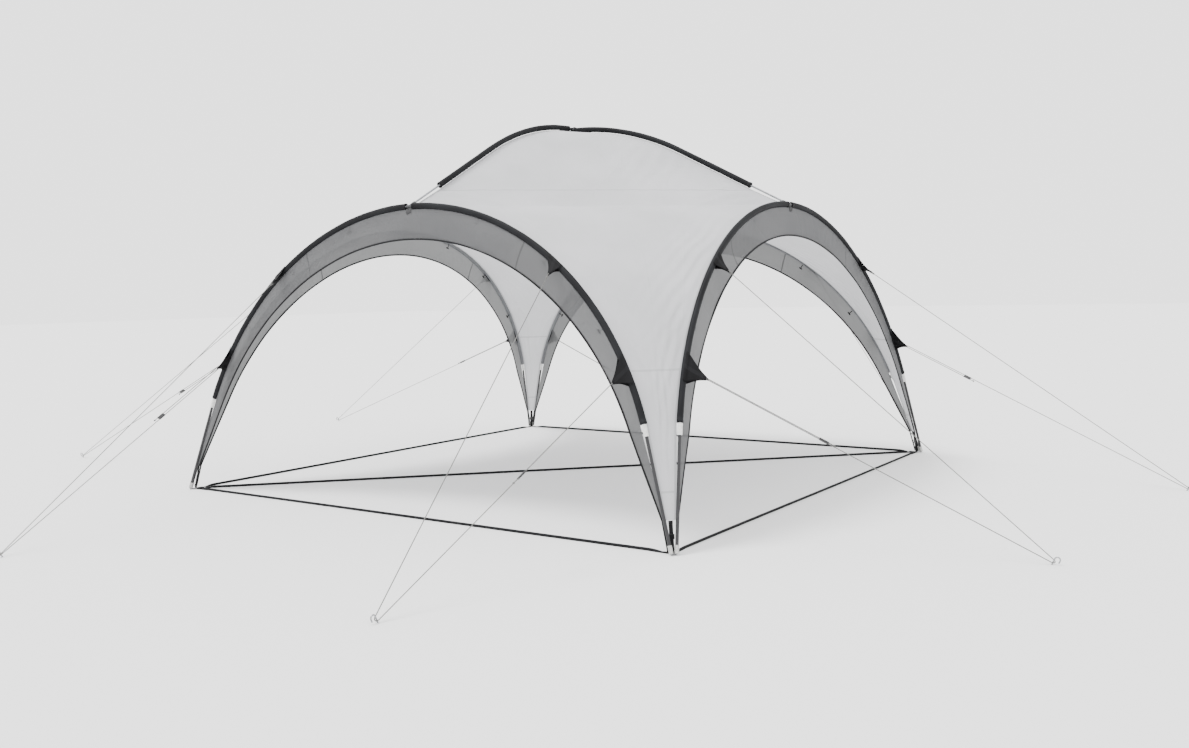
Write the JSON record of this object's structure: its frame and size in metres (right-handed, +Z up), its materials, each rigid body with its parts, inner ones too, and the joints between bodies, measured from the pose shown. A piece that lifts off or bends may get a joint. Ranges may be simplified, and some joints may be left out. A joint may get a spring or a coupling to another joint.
{
  "type": "tarp shelter",
  "caption": "Open-sided event shelter: leaning pole arches and crossed roof poles carry a sewn fly with valances, pegged out by guys with sliding runners.",
  "frame": {"origin": "on the ground at the centre of the square base, on the underside of the diagonal ground strap", "axes": "+Z up; the sides of the base lie along X and Y; the front side faces -Y"},
  "size_m": [7.2532, 6.7232, 2.4328],
  "materials": {
    "canopy_cloth": "light grey coated polyester, matt",
    "valance_mesh": "grey thin polyester, slightly see-through",
    "sleeve_cloth": "charcoal woven polyester",
    "black_webbing": "black woven webbing",
    "guy_cord": "light grey braided cord",
    "glass_fibre": "dark glass fibre rod, satin",
    "painted_steel": "dark powder-coated steel tube",
    "zinc_steel": "zinc-plated steel",
    "white_plastic": "off-white moulded plastic",
    "grey_plastic": "light grey moulded plastic",
    "black_plastic": "black moulded plastic"
  },
  "bodies": {
    "frame": {"apex_hubs": "black_plastic", "arch_pole_back": "glass_fibre", "arch_pole_front": "glass_fibre", "arch_pole_left": "glass_fibre", "arch_pole_right": "glass_fibre", "arch_sleeve_back": "sleeve_cloth", "arch_sleeve_front": "sleeve_cloth", "arch_sleeve_left": "sleeve_cloth", "arch_sleeve_right": "sleeve_cloth", "canopy_back_left": "canopy_cloth", "canopy_back_right": "canopy_cloth", "canopy_front_left": "canopy_cloth", "canopy_front_right": "canopy_cloth", "corner_rings": "zinc_steel", "corner_webbing": "black_webbing", "crown_patch": "canopy_cloth", "crown_tie": "black_webbing", "foot_caps": "grey_plastic", "ground_straps": "black_webbing", "guy_back_left": "guy_cord", "guy_back_right": "guy_cord", "guy_front_left": "guy_cord", "guy_front_right": "guy_cord", "guy_left_back": "guy_cord", "guy_left_front": "guy_cord", "guy_patches_high": "sleeve_cloth", "guy_patches_low": "sleeve_cloth", "guy_right_back": "guy_cord", "guy_right_front": "guy_cord", "leg_ferrules": "white_plastic", "legs": "painted_steel", "roof_pole_front_back": "glass_fibre", "roof_pole_left_right": "glass_fibre", "roof_sleeve_front_back": "sleeve_cloth", "roof_sleeve_left_right": "sleeve_cloth", "valance_back": "valance_mesh", "valance_bindings": "black_webbing", "valance_front": "valance_mesh", "valance_left": "valance_mesh", "valance_right": "valance_mesh"},
    "buckle_back_left_body": {"buckle_back_left": "black_plastic"},
    "buckle_back_right_body": {"buckle_back_right": "black_plastic"},
    "buckle_front_left_body": {"buckle_front_left": "black_plastic"},
    "buckle_front_right_body": {"buckle_front_right": "black_plastic"},
    "peg_back_left_body": {"peg_back_left": "zinc_steel"},
    "peg_back_right_body": {"peg_back_right": "zinc_steel"},
    "peg_front_left_body": {"peg_front_left": "zinc_steel"},
    "peg_front_right_body": {"peg_front_right": "zinc_steel"},
    "peg_left_back_body": {"peg_left_back": "zinc_steel"},
    "peg_left_front_body": {"peg_left_front": "zinc_steel"},
    "peg_right_back_body": {"peg_right_back": "zinc_steel"},
    "peg_right_front_body": {"peg_right_front": "zinc_steel"},
    "runner_back_left_body": {"runner_back_left": "black_plastic"},
    "runner_back_right_body": {"runner_back_right": "black_plastic"},
    "runner_front_left_body": {"runner_front_left": "black_plastic"},
    "runner_front_right_body": {"runner_front_right": "black_plastic"},
    "runner_left_back_body": {"runner_left_back": "black_plastic"},
    "runner_left_front_body": {"runner_left_front": "black_plastic"},
    "runner_right_back_body": {"runner_right_back": "black_plastic"},
    "runner_right_front_body": {"runner_right_front": "black_plastic"}
  },
  "joints": [
    {"name": "buckle_back_left_slide", "type": "slide", "parent": "frame", "child": "buckle_back_left_body", "axis": [0.11, -0.11, 0.9878], "range_m": [-0.03, 0.03]},
    {"name": "buckle_back_right_slide", "type": "slide", "parent": "frame", "child": "buckle_back_right_body", "axis": [-0.11, -0.11, 0.9878], "range_m": [-0.03, 0.03]},
    {"name": "buckle_front_left_slide", "type": "slide", "parent": "frame", "child": "buckle_front_left_body", "axis": [0.11, 0.11, 0.9878], "range_m": [-0.03, 0.03]},
    {"name": "buckle_front_right_slide", "type": "slide", "parent": "frame", "child": "buckle_front_right_body", "axis": [-0.11, 0.11, 0.9878], "range_m": [-0.03, 0.03]},
    {"name": "peg_back_left_slide", "type": "slide", "parent": "frame", "child": "peg_back_left_body", "axis": [0, 0.4226, 0.9063], "range_m": [0, 0.2]},
    {"name": "peg_back_right_slide", "type": "slide", "parent": "frame", "child": "peg_back_right_body", "axis": [0, 0.4226, 0.9063], "range_m": [0, 0.2]},
    {"name": "peg_front_left_slide", "type": "slide", "parent": "frame", "child": "peg_front_left_body", "axis": [0, -0.4226, 0.9063], "range_m": [0, 0.2]},
    {"name": "peg_front_right_slide", "type": "slide", "parent": "frame", "child": "peg_front_right_body", "axis": [0, -0.4226, 0.9063], "range_m": [0, 0.2]},
    {"name": "peg_left_back_slide", "type": "slide", "parent": "frame", "child": "peg_left_back_body", "axis": [-0.4226, 0, 0.9063], "range_m": [0, 0.2]},
    {"name": "peg_left_front_slide", "type": "slide", "parent": "frame", "child": "peg_left_front_body", "axis": [-0.4226, 0, 0.9063], "range_m": [0, 0.2]},
    {"name": "peg_right_back_slide", "type": "slide", "parent": "frame", "child": "peg_right_back_body", "axis": [0.4226, 0, 0.9063], "range_m": [0, 0.2]},
    {"name": "peg_right_front_slide", "type": "slide", "parent": "frame", "child": "peg_right_front_body", "axis": [0.4226, 0, 0.9063], "range_m": [0, 0.2]},
    {"name": "runner_back_left_slide", "type": "slide", "parent": "frame", "child": "runner_back_left_body", "axis": [-0.1662, -0.8914, 0.4216], "range_m": [0, 0.3]},
    {"name": "runner_back_right_slide", "type": "slide", "parent": "frame", "child": "runner_back_right_body", "axis": [0.1605, -0.8941, 0.4181], "range_m": [0, 0.3]},
    {"name": "runner_front_left_slide", "type": "slide", "parent": "frame", "child": "runner_front_left_body", "axis": [-0.2453, 0.8735, 0.4205], "range_m": [0, 0.3]},
    {"name": "runner_front_right_slide", "type": "slide", "parent": "frame", "child": "runner_front_right_body", "axis": [0.0761, 0.8757, 0.4768], "range_m": [0, 0.3]},
    {"name": "runner_left_back_slide", "type": "slide", "parent": "frame", "child": "runner_left_back_body", "axis": [0.9291, 0.0716, 0.3628], "range_m": [0, 0.3]},
    {"name": "runner_left_front_slide", "type": "slide", "parent": "frame", "child": "runner_left_front_body", "axis": [0.9287, -0.0675, 0.3646], "range_m": [0, 0.3]},
    {"name": "runner_right_back_slide", "type": "slide", "parent": "frame", "child": "runner_right_back_body", "axis": [-0.8916, 0.227, 0.3919], "range_m": [0, 0.3]},
    {"name": "runner_right_front_slide", "type": "slide", "parent": "frame", "child": "runner_right_front_body", "axis": [-0.8725, -0.1873, 0.4512], "range_m": [0, 0.3]}
  ]
}
